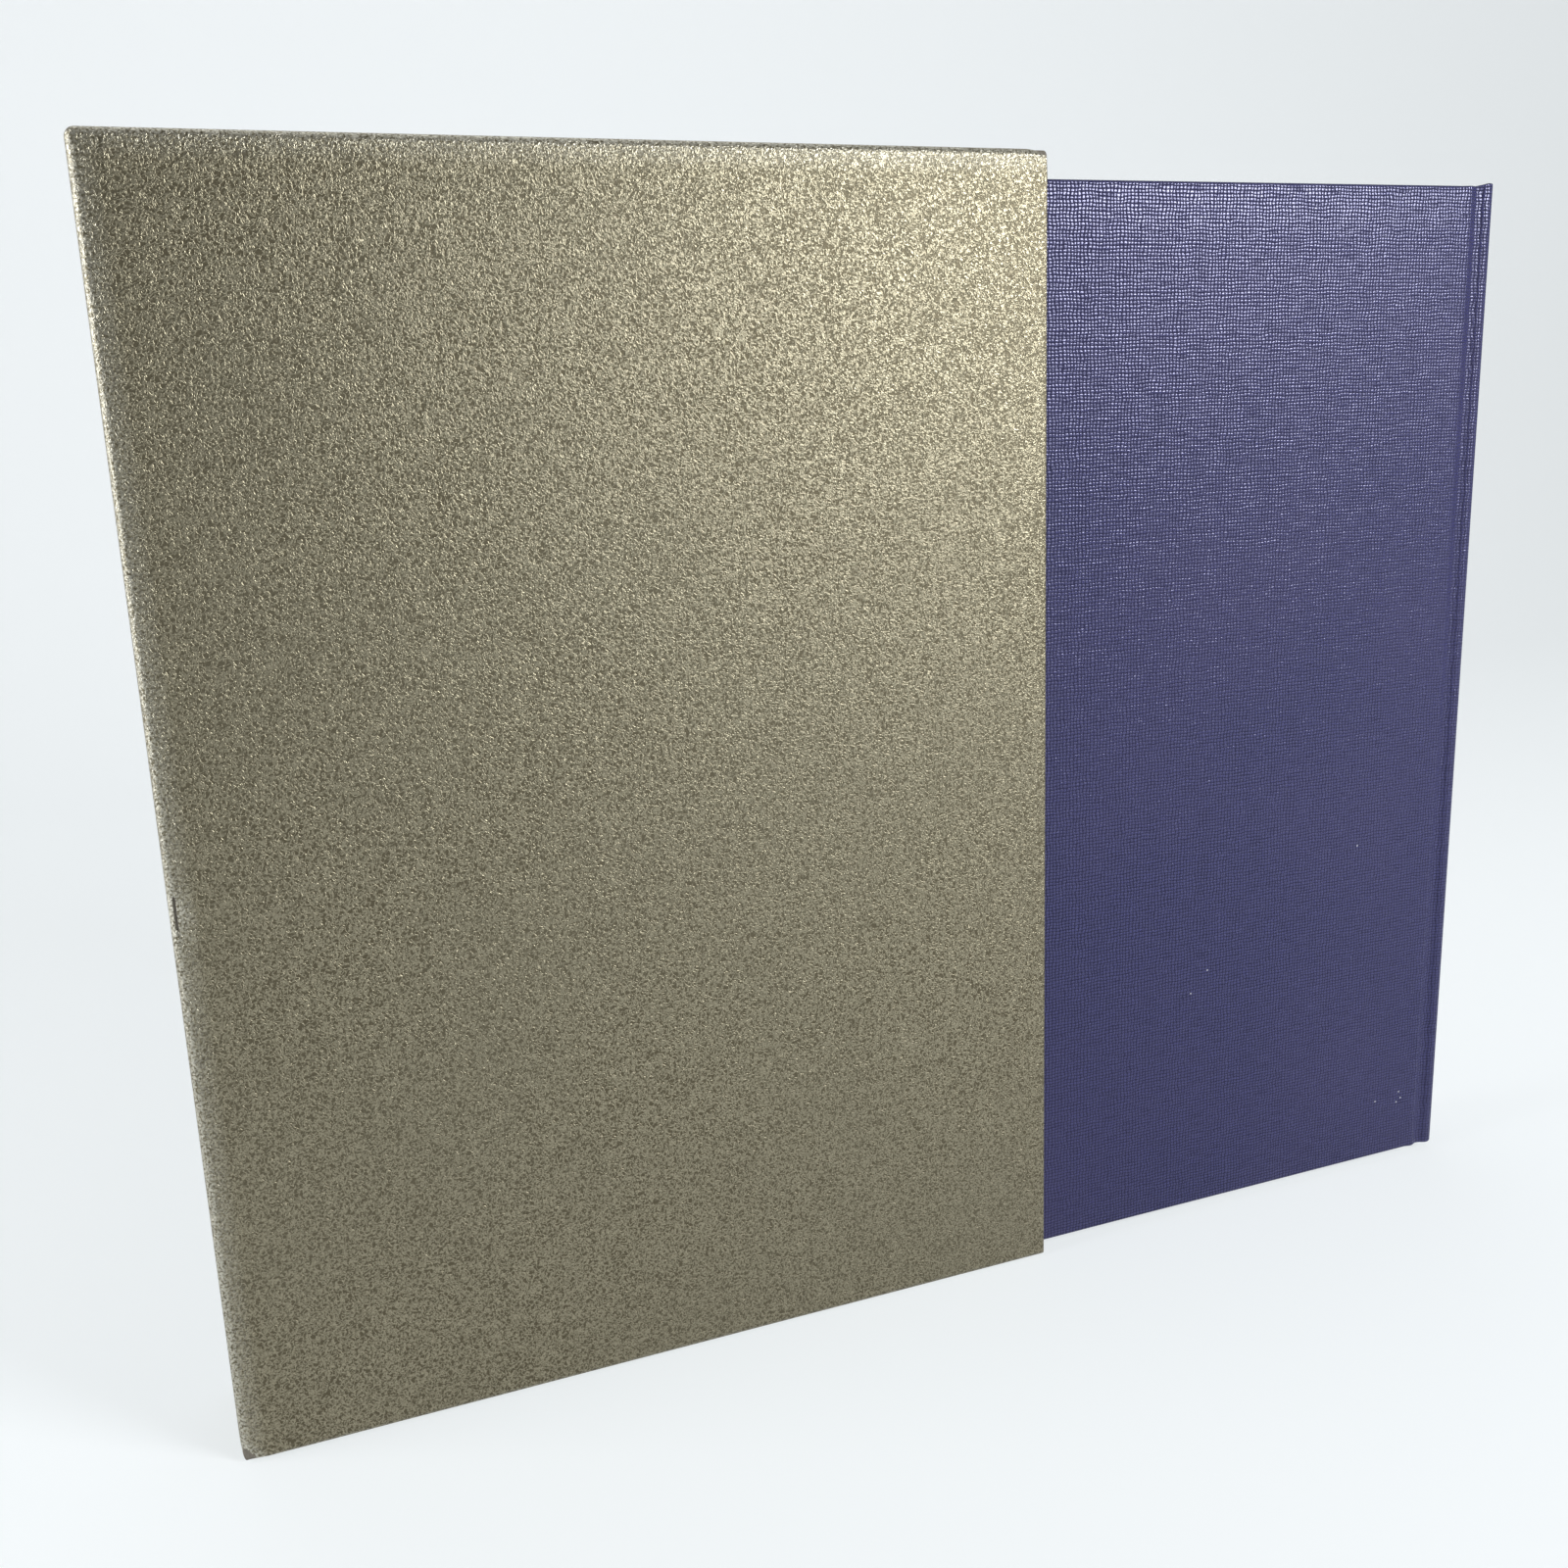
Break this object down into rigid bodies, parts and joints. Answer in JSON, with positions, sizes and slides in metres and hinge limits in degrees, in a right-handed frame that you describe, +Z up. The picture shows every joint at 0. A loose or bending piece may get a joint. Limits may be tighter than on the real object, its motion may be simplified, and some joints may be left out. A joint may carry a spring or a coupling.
{
  "type": "book slipcase with its book",
  "caption": "Cloth-covered slipcase standing upright, with its matching cloth-bound book that slides in and out of the open end.",
  "frame": {"origin": "centre of the case's underside, on the surface that it stands on", "axes": "+X out of the case's mouth, the way the book is drawn; +Z up; the side that the picture shows faces -Y"},
  "size_m": [0.3886, 0.0378, 0.315],
  "materials": {
    "bronze_cloth": "satin",
    "lining_paper": "matte",
    "grey_board": "matte",
    "purple_cloth": "matte",
    "page_paper": "matte",
    "endpaper": "matte",
    "gauze": "matte",
    "band_silk": "satin"
  },
  "bodies": {
    "slipcase": {"case_front_board": "grey_board", "case_back_board": "grey_board", "case_top_board": "grey_board", "case_bottom_board": "grey_board", "case_end_board": "grey_board", "case_covering": "bronze_cloth", "case_lining": "lining_paper"},
    "book": {"book_cloth": "purple_cloth", "book_front_board": "grey_board", "book_back_board": "grey_board", "book_spine_strip": "grey_board", "book_pages": "page_paper", "book_spine_lining": "gauze", "book_front_endpaper": "endpaper", "book_back_endpaper": "endpaper", "book_head_band": "band_silk", "book_tail_band": "band_silk"}
  },
  "joints": [
    {"name": "book_slide", "type": "slide", "parent": "slipcase", "child": "book", "axis": [1, 0, 0], "range_m": [-0.1572, 0.075]}
  ]
}
